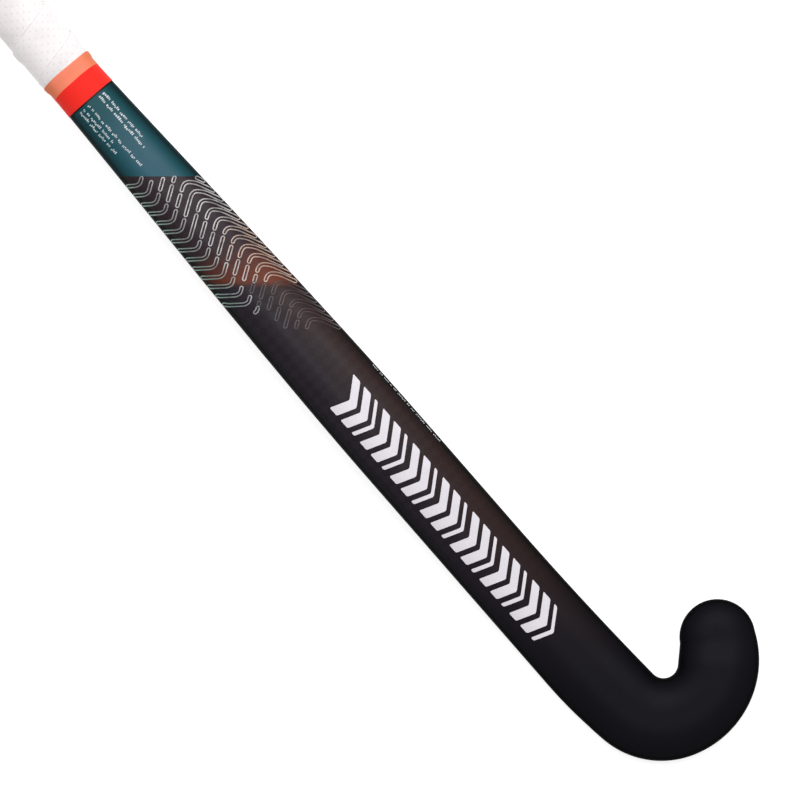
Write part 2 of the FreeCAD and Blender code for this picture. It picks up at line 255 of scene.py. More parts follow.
# the distance round the skin at which a point stands this far across, seen from above
def aroundAt(reach, across):
    lengths, points = skinRing(round(reach), 0.0)
    upper = range(halfCount, halfSteps["face"] + halfSteps["faceCorner"] + halfSteps["wall"], -1)
    plan = [1000 * points[i].y - midlineY for i in upper]
    wanted = min(abs(across), waves["edgeShare"] * toeEdge(reach))
    spot = min(max(bisect.bisect(plan, wanted), 1), len(plan) - 1)
    share = (wanted - plan[spot - 1]) / (plan[spot] - plan[spot - 1])
    around = -mix(lengths[upper[spot - 1]], lengths[upper[spot]], share)
    return math.copysign(around + edgeStretch * (abs(across) - wanted), across)


def newMaterial(name, color, roughness, **sockets):
    made = bpy.data.materials.new(name)
    made.use_nodes = True
    shader = made.node_tree.nodes["Principled BSDF"]
    shader.inputs["Base Color"].default_value = (*color, 1)
    shader.inputs["Roughness"].default_value = roughness
    for socket, value in sockets.items():
        shader.inputs[socket.replace("_", " ")].default_value = value
    return made


def addNode(made, kind, **settings):
    node = made.node_tree.nodes.new(kind)
    for setting, value in settings.items():
        setattr(node, setting, value)
    return node


def plug(made, source, target):
    if isinstance(source, (int, float)):
        target.default_value = source
    else:
        made.node_tree.links.new(source, target)


def calc(made, operation, first, second=0.0, third=0.0):
    node = addNode(made, "ShaderNodeMath", operation=operation)
    for value, target in zip((first, second, third), node.inputs):
        plug(made, value, target)
    return node.outputs[0]


def ramp(made, value, low, high):    # 0 at low, 1 at high, smooth between
    node = addNode(made, "ShaderNodeMapRange", interpolation_type="SMOOTHSTEP")
    plug(made, value, node.inputs["Value"])
    node.inputs["From Min"].default_value = low
    node.inputs["From Max"].default_value = high
    return node.outputs["Result"]


def blendColor(made, share, first, second, mode="MIX"):
    node = addNode(made, "ShaderNodeMix", data_type="RGBA", blend_type=mode)
    plug(made, share, node.inputs[0])
    for value, target in ((first, node.inputs[6]), (second, node.inputs[7])):
        if isinstance(value, tuple):
            target.default_value = (*value, 1)
        else:
            plug(made, value, target)
    return node.outputs[2]


def noise(made, vector, scale, detail=2.0):
    node = addNode(made, "ShaderNodeTexNoise")
    plug(made, vector, node.inputs["Vector"])
    node.inputs["Scale"].default_value = scale
    node.inputs["Detail"].default_value = detail
    return node.outputs["Fac"]


def place(made):    # object coordinates, in metres
    return addNode(made, "ShaderNodeTexCoord").outputs["Object"]


def turned(made, vector, degrees=0.0, scale=(1, 1, 1)):
    node = addNode(made, "ShaderNodeMapping")
    plug(made, vector, node.inputs["Vector"])
    node.inputs["Rotation"].default_value = (0, 0, math.radians(degrees))
    node.inputs["Scale"].default_value = scale
    return node.outputs["Vector"]


def bump(made, height, strength, distance):
    node = addNode(made, "ShaderNodeBump")
    plug(made, height, node.inputs["Height"])
    node.inputs["Strength"].default_value = strength
    node.inputs["Distance"].default_value = distance
    plug(made, node.outputs["Normal"], shaderOf(made).inputs["Normal"])


def shaderOf(made):
    return made.node_tree.nodes["Principled BSDF"]


def paint(made, socket, value):
    plug(made, value, shaderOf(made).inputs[socket])


# the finish of the shell: its print leans against the shaft, and starts where that line crosses the midline
graphics = dict(
    lean=49.0, start=482.7, fade=64.0, trail=83.0,
    # the teal's middle colour is a painted highlight along the crest of the back
    teal=(0.004, 0.064, 0.078), tealPaintedHighlight=(0.028, 0.100, 0.140),
    darkBase=(0.022, 0.013, 0.018), glow=(0.13, 0.026, 0.008),
    # the warm carbon colour is a painted sheen for the toe side, and the head carbon colour is a painted
    # shade for the head
    carbon=(0.0132, 0.0098, 0.0160), carbonPaintedSheen=(0.028, 0.014, 0.013), carbonHeadPaintedShade=(0.0062, 0.0056, 0.0086),
    # the side colour multiplies the shell's sides into a painted shade
    weaveTint=(0.030, 0.022, 0.024), paintedSideShade=(0.16, 0.22, 0.22), line=(0.004, 0.004, 0.005),
    lineStart=544.7, crease=54.8, towWidth=5.0,
)


def makeShellMaterial():
    made = newMaterial("satin carbon", graphics["carbon"], 0.42)
    spot = addNode(made, "ShaderNodeSeparateXYZ")
    plug(made, place(made), spot.inputs[0])
    reach = calc(made, "SUBTRACT", halfLength / 1000, spot.outputs["X"])
    across = calc(made, "SUBTRACT", spot.outputs["Y"], midlineY / 1000)
    turn = math.radians(graphics["lean"])
    towards = calc(made, "SUBTRACT", graphics["start"] / 1000, reach)
    down = calc(made, "SUBTRACT", calc(made, "MULTIPLY", towards, math.sin(turn)),
                calc(made, "MULTIPLY", across, math.cos(turn)))
    side = calc(made, "ADD", calc(made, "MULTIPLY", towards, math.cos(turn)),
                calc(made, "MULTIPLY", across, math.sin(turn)))

    # spread tows at 45 degrees: over and under squares, and fine fibres along each
    weave = addNode(made, "ShaderNodeUVMap", uv_map="lay").outputs["UV"]
    squares = addNode(made, "ShaderNodeTexChecker")
    plug(made, turned(made, weave, 45), squares.inputs["Vector"])
    squares.inputs["Scale"].default_value = 1000 / graphics["towWidth"]
    fibreA = noise(made, turned(made, weave, 45, (260, 5200, 1)), 1.0)
    fibreB = noise(made, turned(made, weave, 45, (5200, 260, 1)), 1.0)
    fibre = addNode(made, "ShaderNodeMix")
    plug(made, squares.outputs["Fac"], fibre.inputs[0])
    plug(made, fibreA, fibre.inputs[2])
    plug(made, fibreB, fibre.inputs[3])
    fibreValue = fibre.outputs[0]
    towLight = calc(made, "ADD", calc(made, "MULTIPLY", squares.outputs["Fac"], 0.35),
                    calc(made, "MULTIPLY", fibreValue, 0.9))

    upright = addNode(made, "ShaderNodeSeparateXYZ")
    plug(made, addNode(made, "ShaderNodeTexCoord").outputs["Normal"], upright.inputs[0])
    flat = ramp(made, calc(made, "ABSOLUTE", upright.outputs["Z"]), 0.50, 0.95)
    cloud = noise(made, place(made), 28.0, 3.0)
    # painted sheen: the carbon turns lighter and warmer towards the toe side, with a random cloudy edge
    body = blendColor(made, ramp(made, calc(made, "ADD", across, calc(made, "MULTIPLY", cloud, 0.01)),
                                 -0.008, 0.026), graphics["carbon"], graphics["carbonPaintedSheen"])
    # painted shade: the carbon darkens towards the head
    body = blendColor(made, ramp(made, reach, 0.205, 0.065), body, graphics["carbonHeadPaintedShade"])
    printed = blendColor(made, ramp(made, calc(made, "ADD", down, calc(made, "MULTIPLY", side, 0.35)),
                                    0.052, 0.088), graphics["darkBase"], graphics["glow"])
    color = blendColor(made, ramp(made, down, graphics["fade"] / 1000 - 0.001,
                                  graphics["fade"] / 1000 + 0.004), printed, body)
    weaveShow = calc(made, "MULTIPLY", ramp(made, reach, 0.08, 0.30), 0.30)
    color = blendColor(made, calc(made, "MULTIPLY", ramp(made, towLight, 0.2, 1.1), weaveShow), color,
                       graphics["weaveTint"], "SCREEN")
    # painted highlight: the teal lightens along the middle of the back
    middle = ramp(made, calc(made, "ABSOLUTE", across), 0.017, 0.002)
    teal = blendColor(made, calc(made, "MULTIPLY", middle, ramp(made, reach, 0.55, 0.49)),
                      graphics["teal"], graphics["tealPaintedHighlight"])
    color = blendColor(made, ramp(made, down, 0.0001, -0.0001), color, teal)
    lineStart = graphics["lineStart"] / 1000
    color = blendColor(made, ramp(made, reach, lineStart - 0.0001, lineStart + 0.0001), color,
                       graphics["line"])
    # painted shade: the colour darkens where the skin turns away from facing up or down
    color = blendColor(made, calc(made, "SUBTRACT", 1.0, flat), color, graphics["paintedSideShade"], "MULTIPLY")
    paint(made, "Base Color", color)
    smear = noise(made, place(made), 60.0, 4.0)
    paint(made, "Roughness", calc(made, "ADD", 0.40, calc(made, "MULTIPLY", smear, 0.14)))
    shine = addNode(made, "ShaderNodeMapRange")
    plug(made, reach, shine.inputs["Value"])
    for socket, value in (("From Min", 0.08), ("From Max", 0.46), ("To Min", 0.055), ("To Max", 0.20)):
        shine.inputs[socket].default_value = value
    paint(made, "Specular IOR Level", calc(made, "MULTIPLY", shine.outputs["Result"],
                                           calc(made, "MULTIPLY_ADD", flat, 0.92, 0.08)))
    away = addNode(made, "ShaderNodeCombineXYZ")
    plug(made, calc(made, "SUBTRACT", reach, crown.x / 1000), away.inputs["X"])
    plug(made, calc(made, "SUBTRACT", across, crown.y / 1000), away.inputs["Y"])
    fromCrown = addNode(made, "ShaderNodeVectorMath", operation="LENGTH")
    plug(made, away.outputs[0], fromCrown.inputs[0])
    offCrease = calc(made, "ABSOLUTE", calc(made, "SUBTRACT", fromCrown.outputs["Value"],
                                            graphics["crease"] / 1000))
    crease = calc(made, "MULTIPLY", ramp(made, offCrease, 0.0006, 0.0001), ramp(made, across, 0.040, 0.055))
    bump(made, calc(made, "ADD", fibreValue, calc(made, "MULTIPLY", crease, 2.5)), 0.10, 0.0002)
    return made


def makePrintMaterial(name, color, roughness):
    made = newMaterial(name, color, roughness)
    grain = noise(made, place(made), 900.0, 3.0)
    dark = tuple(0.82 * c for c in color)
    paint(made, "Base Color", blendColor(made, grain, color, dark))
    paint(made, "Roughness", calc(made, "ADD", roughness - 0.08, calc(made, "MULTIPLY", grain, 0.16)))
    return made


def makeSilverMaterial(name, color):
    made = newMaterial(name, color, 0.38, Metallic=0.35)
    spot = addNode(made, "ShaderNodeSeparateXYZ")
    plug(made, place(made), spot.inputs[0])
    across = calc(made, "SUBTRACT", spot.outputs["Y"], midlineY / 1000)
    green = tuple(c * k for c, k in zip(color, (0.45, 0.80, 0.66)))
    warm = tuple(c * k for c, k in zip(color, (1.05, 0.74, 0.58)))
    toned = blendColor(made, ramp(made, across, -0.006, -0.020), color, green)
    nearGlow = calc(made, "MULTIPLY", ramp(made, across, -0.002, 0.008),
                    ramp(made, spot.outputs["X"], 0.018, 0.044))
    toned = blendColor(made, nearGlow, toned, warm)
    wear = noise(made, place(made), 260.0, 4.0)
    dim = tuple(0.5 * c for c in color)
    paint(made, "Base Color", blendColor(made, ramp(made, wear, 0.42, 0.72), toned, dim))
    paint(made, "Roughness", calc(made, "ADD", 0.3, calc(made, "MULTIPLY", wear, 0.25)))
    return made


def makeGripMaterial():
    made = newMaterial("white polyurethane", (0.86, 0.82, 0.82), 0.6, Subsurface_Weight=0.06)
    shaderOf(made).inputs["Subsurface Scale"].default_value = 0.002
    wind = addNode(made, "ShaderNodeUVMap", uv_map="lay").outputs["UV"]
    grain = addNode(made, "ShaderNodeTexVoronoi", feature="DISTANCE_TO_EDGE")
    plug(made, wind, grain.inputs["Vector"])
    grain.inputs["Scale"].default_value = 1400
    dots = addNode(made, "ShaderNodeTexVoronoi", feature="F1")
    plug(made, turned(made, wind, 45), dots.inputs["Vector"])
    dots.inputs["Scale"].default_value = 260
    dots.inputs["Randomness"].default_value = 0.0
    hole = ramp(made, dots.outputs["Distance"], 0.20, 0.10)
    soil = noise(made, place(made), 45.0, 5.0)
    color = blendColor(made, ramp(made, soil, 0.45, 0.75), grip["color"], grip["soiled"])
    color = blendColor(made, calc(made, "MULTIPLY", hole, grip["holeShare"]), color, grip["holes"])
    paint(made, "Base Color", color)
    paint(made, "Roughness", calc(made, "ADD", 0.52, calc(made, "MULTIPLY", soil, 0.2)))
    pores = calc(made, "MULTIPLY", ramp(made, grain.outputs["Distance"], 0.0, 0.25), 0.3)
    bump(made, calc(made, "SUBTRACT", pores, hole), 0.5, 0.0003)
    return made


# makes a film whose edge colour is a painted shade on its sides
def makeFilmMaterial(name, color, edge, roughness, shine):
    made = newMaterial(name, color, roughness, Specular_IOR_Level=shine)
    ripple = noise(made, turned(made, place(made), 0, (1, 0.25, 0.25)), 420.0, 3.0)
    across = addNode(made, "ShaderNodeSeparateXYZ")
    plug(made, place(made), across.inputs[0])
    offset = calc(made, "ABSOLUTE", calc(made, "SUBTRACT", across.outputs["Y"], midlineY / 1000))
    # painted shade: the film darkens from the crest towards its sides, and the ripple adds a real unevenness
    shade = calc(made, "ADD", ramp(made, offset, 0.009, 0.017), calc(made, "MULTIPLY", ripple, 0.12))
    paint(made, "Base Color", blendColor(made, shade, color, edge))
    paint(made, "Roughness", calc(made, "ADD", roughness - 0.06, calc(made, "MULTIPLY", ripple, 0.12)))
    bump(made, ripple, 0.15, 0.0002)
    return made


def makeRubberMaterial():
    made = newMaterial("butt rubber", (0.02, 0.02, 0.022), 0.62)
    grain = noise(made, place(made), 1800.0, 3.0)
    paint(made, "Base Color", blendColor(made, grain, (0.016, 0.016, 0.018), (0.034, 0.034, 0.036)))
    paint(made, "Roughness", calc(made, "ADD", 0.52, calc(made, "MULTIPLY", grain, 0.25)))
    bump(made, grain, 0.35, 0.0002)
    return made


def makeFoamMaterial(name, light, dark, scale):
    made = newMaterial(name, light, 0.85)
    cells = addNode(made, "ShaderNodeTexVoronoi", feature="F1")
    plug(made, place(made), cells.inputs["Vector"])
    cells.inputs["Scale"].default_value = scale
    paint(made, "Base Color", blendColor(made, ramp(made, cells.outputs["Distance"], 0.1, 0.7), dark, light))
    bump(made, cells.outputs["Distance"], 0.6, 0.0004)
    return made


def makeLaminateMaterial(name, first, second):
    made = newMaterial(name, first, 0.5)
    squares = addNode(made, "ShaderNodeTexChecker")
    plug(made, turned(made, place(made), 45), squares.inputs["Vector"])
    squares.inputs["Scale"].default_value = 400
    strands = noise(made, turned(made, place(made), 45, (1, 14, 1)), 320.0)
    weave = calc(made, "ADD", calc(made, "MULTIPLY", squares.outputs["Fac"], 0.6),
                 calc(made, "MULTIPLY", strands, 0.5))
    paint(made, "Base Color", blendColor(made, weave, first, second))
    bump(made, weave, 0.3, 0.0002)
    return made


def makeGelMaterial():
    made = newMaterial("damper gel", (0.30, 0.60, 0.66), 0.25, Subsurface_Weight=0.4)
    shaderOf(made).inputs["Subsurface Scale"].default_value = 0.005
    bubbles = noise(made, place(made), 300.0, 4.0)
    paint(made, "Base Color", blendColor(made, bubbles, (0.22, 0.52, 0.60), (0.42, 0.72, 0.76)))
    bump(made, bubbles, 0.1, 0.0003)
    return made


# makes the object: wall is the thickness given to an open sheet, in millimetres
def finishPiece(bm, name, material, wall=0.0, offset=-1.0, sharp=35.0):
    bmesh.ops.remove_doubles(bm, verts=bm.verts[:], dist=0.000005)
    bmesh.ops.recalc_face_normals(bm, faces=bm.faces[:])
    mesh = bpy.data.meshes.new(name)
    bm.to_mesh(mesh)
    bm.free()
    mesh.materials.append(material)
    piece = bpy.data.objects.new(name, mesh)
    bpy.context.scene.collection.objects.link(piece)
    if wall:
        skin = piece.modifiers.new("wall", "SOLIDIFY")
        skin.thickness = wall / 1000
        skin.offset = offset
        skin.use_even_offset = True
        shape = piece.evaluated_get(bpy.context.evaluated_depsgraph_get())
        piece.data = bpy.data.meshes.new_from_object(shape)
        piece.modifiers.clear()
    piece.data.shade_smooth()
    piece.data.set_sharp_from_angle(angle=math.radians(sharp))
    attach(piece, "root")
    print(name, len(piece.data.polygons))
    return piece


def ringEdges(ring, closed=True):
    following = ring[1:] + ring[:1] if closed else ring[1:]
    return [next(e for e in a.link_edges if e.other_vert(a) is b) for a, b in zip(ring, following)]


# extrudes a ring of vertices, or makes the first one, and moves the new one to its points
def nextRing(bm, ring, points):
    if ring is None:
        made = bmesh.ops.create_circle(bm, segments=len(points), radius=1)["verts"]
    else:
        fresh = bmesh.ops.extrude_edge_only(bm, edges=ringEdges(ring))["geom"]
        fresh = {item for item in fresh if isinstance(item, bmesh.types.BMVert)}
        made = [next(e.other_vert(v) for e in v.link_edges if e.other_vert(v) in fresh) for v in ring]
    for vert, point in zip(made, points):
        vert.co = point
    return made


def ringStack(bm, stations):
    rings = []
    for points in stations:
        rings.append(nextRing(bm, rings[-1] if rings else None, points))
    return rings


def capRing(bm, ring):
    bmesh.ops.contextual_create(bm, geom=ringEdges(ring))


# the UV map "lay", in metres along and round; the seam is on the face, where around changes sign
def layUv(bm, alongs, arounds):
    layer = bm.loops.layers.uv.new("lay")
    for face in bm.faces:
        lowest = min(arounds[loop.vert] for loop in face.loops)
        for loop in face.loops:
            around = arounds[loop.vert]
            acrossSeam = around - lowest > 0.03
            loop[layer].uv = (alongs[loop.vert], -around if acrossSeam else around)


def rangeSteps(start, end, step):
    count = max(1, round(abs(end - start) / step))
    return [start + (end - start) * i / count for i in range(count + 1)]


# where the parts of the shell meet, and the step between its rings in each
shellRows = dict(
    gripped=570, gripStep=12, hookStart=70, shaftStep=4, hookTurn=266, hookStep=2.6, toeStep=0.1, endSteps=30,
)


def buildShell():
    butt = stick["length"] - stick["capThickness"]
    gripped, hookStart = shellRows["gripped"], shellRows["hookStart"]
    stations = [shaftRing(r) for r in rangeSteps(butt, gripped, shellRows["gripStep"])[:-1]]
    stations += [shaftRing(r) for r in rangeSteps(gripped, hookStart, shellRows["shaftStep"])]
    stations += [hookRing(d) for d in rangeSteps(shellRows["hookTurn"], toeLean + 90, shellRows["hookStep"])]
    stations += [toeRing(share) for share in rangeSteps(0, 1, shellRows["toeStep"])[1:]]
    bm = bmesh.new()
    alongs, arounds = {}, {}
    along, before = 0.0, None
    for ring in ringStack(bm, stations):
        points = [vert.co.copy() for vert in ring]
        middle = sum(points, Vector()) / len(points)
        along += (middle - before).length if before else 0.0
        before = middle
        alongs.update({vert: along for vert in ring})
        arounds.update(zip(ring, ringLengths(points)))
    # the toe's end is the heel-side half of the last ring, turned about its upright middle
    half = ring[halfCount:] + ring[:1]
    bmesh.ops.spin(bm, geom=half + ringEdges(half, closed=False), cent=rowPoint(*toe, 0), axis=(0, 0, 1),
                   angle=math.pi, steps=shellRows["endSteps"], use_duplicate=False, use_merge=False)
    pole = rowPoint(*toe, 0)
    heading = (rowPoint(*fromPoint(toe, 1, toeSectionAngle - 90), 0) - pole).normalized()
    for vert in bm.verts:
        if vert not in alongs:
            alongs[vert] = along + (vert.co - pole).dot(heading)
            arounds[vert] = (vert.co - pole).cross(heading).z
    layUv(bm, alongs, arounds)
    return finishPiece(bm, "shell", makeShellMaterial(), wall=stick["wall"])


shell = buildShell()
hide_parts("outer_shell")

# the white print: a plain row of chevrons
emblem = dict(
    start=312.0, end=110.0, toeSide=10.6, heelSide=-14.0, strokes=(6.4, 6.4, 2.6), gap=3.6, groupGap=5.0,
    lean=14.0, point=7.5, corner=0.9, thickness=0.16, closeBelow=130.0, color=(0.84, 0.80, 0.86),
)


def flatShape(bm, outline):    # one flat polygon, laid out as (reach, around) in millimetres
    made = bmesh.ops.create_circle(bm, cap_ends=True, segments=len(outline), radius=1)["verts"]
    for vert, (reach, around) in zip(made, outline):
        vert.co = (reach, around, 0)
    return made


# cuts flat shapes into cells small enough to follow the skin, and lays them on it
def wrapOnSkin(bm, stepReach, stepAround):
    for axis, step in ((0, stepReach), (1, stepAround)):
        values = [v.co[axis] for v in bm.verts]
        normal = Vector((1, 0, 0)) if axis == 0 else Vector((0, 1, 0))
        cut = math.ceil(min(values) / step) * step
        while cut < max(values):
            bmesh.ops.bisect_plane(bm, geom=bm.verts[:] + bm.edges[:] + bm.faces[:],
                                   plane_co=normal * cut, plane_no=normal)
            cut += step
    for vert in bm.verts:
        vert.co = skinPoint(vert.co.x, vert.co.y)


def leaning(reach, around):
    return reach + math.tan(math.radians(emblem["lean"])) * around, around


def buildEmblem():
    bm = bmesh.new()
    top, bottom = emblem["toeSide"], emblem["heelSide"]
    middle = (top + bottom) / 2
    corners = []
    reach = emblem["start"]
    while reach > emblem["end"]:
        for stroke in emblem["strokes"]:
            inner = reach - stroke
            if inner - emblem["point"] < emblem["end"]:
                break
            outline = [(reach, bottom), (reach - emblem["point"], middle), (reach, top),
                       (inner, top), (inner - emblem["point"], middle), (inner, bottom)]
            corners += flatShape(bm, [leaning(*p) for p in outline])
            reach = inner - emblem["gap"]
        reach -= emblem["groupGap"] - emblem["gap"] + (emblem["point"] if reach < emblem["closeBelow"] else 0)
    bmesh.ops.bevel(bm, geom=corners, offset=emblem["corner"], offset_type="OFFSET", affect="VERTICES",
                    segments=3, profile=0.5, material=-1)
    wrapOnSkin(bm, 4.0, 1.3)
    white = makePrintMaterial("white print", emblem["color"], 0.5)
    return finishPiece(bm, "emblemPrint", white, wall=emblem["thickness"], offset=0)


buildEmblem()

# the small print: rows of plain ticks, each row given by its distance round, its end and its weight
marks = dict(
    start=543.0, tick=0.55, gap=0.42, groupGap=1.3, height=1.7, thickness=0.14,
    rows=(
        (8.5, 508.0, 1.25), (5.0, 502.0, 1.25), (-3.6, 495.0, 1.0), (-7.5, 516.0, 1.0), (-10.6, 510.0, 1.0),
    ),
    edgeAround=26.4, edgeStart=311.0, edgeEnd=249.0, edgeWeight=0.9, edgeHeight=1.3,
    color=(0.62, 0.66, 0.70),
)


def tickRow(bm, around, start, end, weight, height):
    reach = start
    while reach > end:
        for _ in range(random.randint(2, 8)):
            width = marks["tick"] * weight * random.choice((0.8, 1.0, 1.5))
            tall = height * random.choice((0.68, 0.68, 0.72, 1.0))
            lift = -0.3 * height * random.choice((0, 0, 0, 1))
            low, high = around - 0.35 * height + lift, around - 0.35 * height + tall + lift
            flatShape(bm, [(reach, low), (reach, high), (reach - width, high), (reach - width, low)])
            reach -= width + marks["gap"]
            if reach <= end:
                return
        reach -= marks["groupGap"]


def buildMarks():
    bm = bmesh.new()
    for around, end, weight in marks["rows"]:
        tickRow(bm, around, marks["start"], end, weight, marks["height"])
    tickRow(bm, marks["edgeAround"], marks["edgeStart"], marks["edgeEnd"], marks["edgeWeight"],
            marks["edgeHeight"])
    wrapOnSkin(bm, 4.0, 1.0)
    white = makePrintMaterial("mark print", marks["color"], 0.55)
    return finishPiece(bm, "markPrint", white, wall=marks["thickness"], offset=0)


buildMarks()

# the silver print: nested outlines, each with a tail, a rising arm and an arch
waves = dict(
    first=-4, count=25, stride=(5.06, 5.55), shift=16.3, edgeShare=0.97, step=1.1, curve=3.4,
    tail=((-34.0, -5.5), (-14.0, 0.6)), rise=24.5, leanIn=6.6, archStart=(7.0, 0.4),
    archLength=36.0, archSlope=0.38, breaks=((38.5, 42.5), (49.0, 54.0)), unbroken=0.3, gap=0.7,
    lineWidth=0.68, outlineHalf=0.95, thickness=0.14, shadowEnd=92.0, trailAround=-6.0,
    silver=(0.39, 0.375, 0.375), shadow=(0.055, 0.045, 0.055),
)


def leanPoint(side, down):    # from the leaning axes of the print to (reach, across) on the shaft
    turn = math.radians(graphics["lean"])
    reach = graphics["start"] - side * math.cos(turn) - down * math.sin(turn)
    return Vector((reach, side * math.sin(turn) - down * math.cos(turn)))


# even points along a line through corners, with each corner rounded
def curveThrough(corners, radius, step):
    bendSteps = 6
    points = [corners[0]]
    for before, corner, after in zip(corners, corners[1:], corners[2:]):
        reachIn = min(radius, 0.48 * (corner - before).length, 0.48 * (after - corner).length)
        start = corner + (before - corner).normalized() * reachIn
        end = corner + (after - corner).normalized() * reachIn
        for i in range(bendSteps + 1):
            t = i / bendSteps
            points.append(start.lerp(corner, t).lerp(corner.lerp(end, t), t))
    points.append(corners[-1])
    even = [points[0]]
    for point in points[1:]:
        while (point - even[-1]).length > step:
            even.append(even[-1] + (point - even[-1]).normalized() * step)
    return even


def wavePath(order):
    origin = Vector(waves["stride"]) * order - Vector((waves["shift"], 0))
    armTop = Vector((waves["leanIn"], -waves["rise"]))
    archEnd = Vector((1, waves["archSlope"])) * waves["archLength"]
    corners = [Vector(corner) for corner in waves["tail"]]
    corners += [Vector((0, 0)), armTop, armTop + Vector(waves["archStart"]), armTop + archEnd]
    return curveThrough([origin + corner for corner in corners], waves["curve"], waves["step"])


capTurns = [math.pi * i / 6 for i in range(1, 6)]    # the steps round the end of an outline


# the closed line at a distance of half from an open path, with round ends
def outlineLoop(path, half):
    sides = []
    for i, point in enumerate(path):
        heading = (path[min(i + 1, len(path) - 1)] - path[max(i - 1, 0)]).normalized()
        normal = Vector((-heading.y, heading.x))
        sides.append((point + normal * half, point - normal * half, heading, normal))
    loop = [side[0] for side in sides]
    heading, normal = sides[-1][2:]
    loop += [path[-1] + half * (normal * math.cos(a) + heading * math.sin(a)) for a in capTurns]
    loop += [side[1] for side in reversed(sides)]
    heading, normal = sides[0][2:]
    loop += [path[0] - half * (normal * math.cos(a) + heading * math.sin(a)) for a in capTurns]
    return loop


def strip(bm, loop, width):    # a flat strip along a closed line of (reach, across) points
    steps = len(loop)
    grid = bmesh.ops.create_grid(bm, x_segments=steps, y_segments=1, size=1)["verts"]
    for vert in grid:
        index = round((vert.co.x + 1) / 2 * steps)
        side = 1 if vert.co.y > 0 else -1
        before, here, after = (loop[(index + k) % steps] for k in (-1, 0, 1))
        heading = (after - before).normalized()
        spot = here + Vector((-heading.y, heading.x)) * side * width / 2
        vert.co = (spot.x, spot.y, 0)


# splits a path above its tail and below its arch, and keeps the runs of points that pass the test
def waveSegments(path, keep):
    cuts = [random.uniform(*ends) / waves["step"] for ends in waves["breaks"]]
    if random.random() < waves["unbroken"]:
        cuts.pop(random.randrange(len(cuts)))
    skip = max(1, round((waves["gap"] + 2 * waves["outlineHalf"]) / waves["step"]))
    run, runs = [], []
    for index, point in enumerate(path):
        broken = any(0 <= index - cut < skip for cut in cuts)
        if broken or not keep(point):
            runs.append(run)
            run = []
        else:
            run.append(leanPoint(*point))
    runs.append(run)
    return [r for r in runs if len(r) >= 3]


def onSkin(point):
    spot = leanPoint(*point)
    return abs(spot.y) < waves["edgeShare"] * toeEdge(spot.x)


def inPattern(point):
    heelSide = leanPoint(*point).y < waves["trailAround"]
    return onSkin(point) and 0.6 < point.y < (graphics["trail"] if heelSide else graphics["fade"])


def inShadow(point):
    past = graphics["fade"] <= point.y < waves["shadowEnd"]
    return onSkin(point) and past and leanPoint(*point).y > waves["trailAround"]


def buildWaves(name, keep, material):
    bm = bmesh.new()
    for order in range(waves["first"], waves["first"] + waves["count"]):
        for run in waveSegments(wavePath(order), keep):
            strip(bm, outlineLoop(run, waves["outlineHalf"]), waves["lineWidth"])
    for vert in bm.verts:
        vert.co = skinPoint(vert.co.x, aroundAt(vert.co.x, vert.co.y))
    return finishPiece(bm, name, material, wall=waves["thickness"], offset=0)


buildWaves("silverWaves", inPattern, makeSilverMaterial("silver print", waves["silver"]))
buildWaves("shadowWaves", inShadow, makeSilverMaterial("shadow print", waves["shadow"]))

# band and tape
sleeves = dict(
    bandEnds=(545.7, 560.8), bandLift=0.25, bandWall=0.2,
    # the side colours are a painted shade for the sides of the band and the tape
    bandColor=(0.90, 0.030, 0.022), bandShadedSide=(0.86, 0.034, 0.026),
    tapeEnds=(560.1, 569.4), tapeLift=0.42, tapeWall=0.3, overGrip=1.40, tapeWobble=0.12,
    tapeColor=(0.93, 0.25, 0.15), tapeShadedSide=(0.72, 0.19, 0.09),
)


def sleeveRing(reach, lift, drop, wobble=0.0):    # its sides lie nearer to the head than its crest
    level = shaftRing(reach)
    top = max(p.z for p in level)
    low = min(p.z for p in level)
    shares = [drop * (1 - (p.z - low) / (top - low)) ** 1.3 for p in level]
    phase = random.uniform(0, math.tau)
    points = []
    for i, share in enumerate(shares):
        here = reach - share + wobble * math.sin(3 * math.tau * i / ringCount + phase)
        ring = shaftRing(here, lift)
        points.append(ring[i])
    return points


def buildSleeve(name, profile, material, wall, wobble=0.0):
    bm = bmesh.new()
    ringStack(bm, [sleeveRing(*row, wobble) for row in profile])
    return finishPiece(bm, name, material, wall=wall)


bandLow, bandHigh = sleeves["bandEnds"]
bandProfile = [(bandLow, 0.02, 0.6), (bandLow + 0.15, sleeves["bandLift"], 0.6),
               (bandLow + 3, sleeves["bandLift"], 1.2), (bandHigh - 2, sleeves["bandLift"], 3.8),
               (bandHigh, sleeves["bandLift"], 4.1), (bandHigh + 0.2, 0.02, 4.1)]
band = buildSleeve("collarBand", bandProfile,
                   makeFilmMaterial("red band", sleeves["bandColor"], sleeves["bandShadedSide"], 0.42, 0.02),
                   sleeves["bandWall"])
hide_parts("collar_band")

tapeLow, tapeHigh = sleeves["tapeEnds"]
tapeLift, overGrip = sleeves["tapeLift"], sleeves["overGrip"]
tapeProfile = [(tapeLow, 0.1, 4.2), (tapeLow + 0.1, tapeLift, 4.2), (tapeLow + 2, tapeLift, 3.6),
               (564.0, tapeLift + 0.05, 2.2), (565.4, 0.55 * overGrip, 2.0), (566.3, 0.80 * overGrip, 2.0),
               (567.6, 0.92 * overGrip, 2.2), (tapeHigh, overGrip, 2.4)]
tape = buildSleeve("finishingTape", tapeProfile,
                   makeFilmMaterial("orange tape", sleeves["tapeColor"], sleeves["tapeShadedSide"], 0.45, 0.03),
                   sleeves["tapeWall"], sleeves["tapeWobble"])
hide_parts("finishing_tape")

# the grip: one strip wound round the handle, each turn over the edge of the last
grip = dict(
    start=566.2, end=stick["length"], pitch=24.0, width=30.0, wall=0.95, underLift=0.6, overlap=6.0,
    pressedLift=0.25, pressedShare=0.24, swellRun=13.0,
    color=(0.90, 0.845, 0.85), soiled=(0.81, 0.76, 0.76), holes=(0.45, 0.40, 0.40), holeShare=0.13,
)


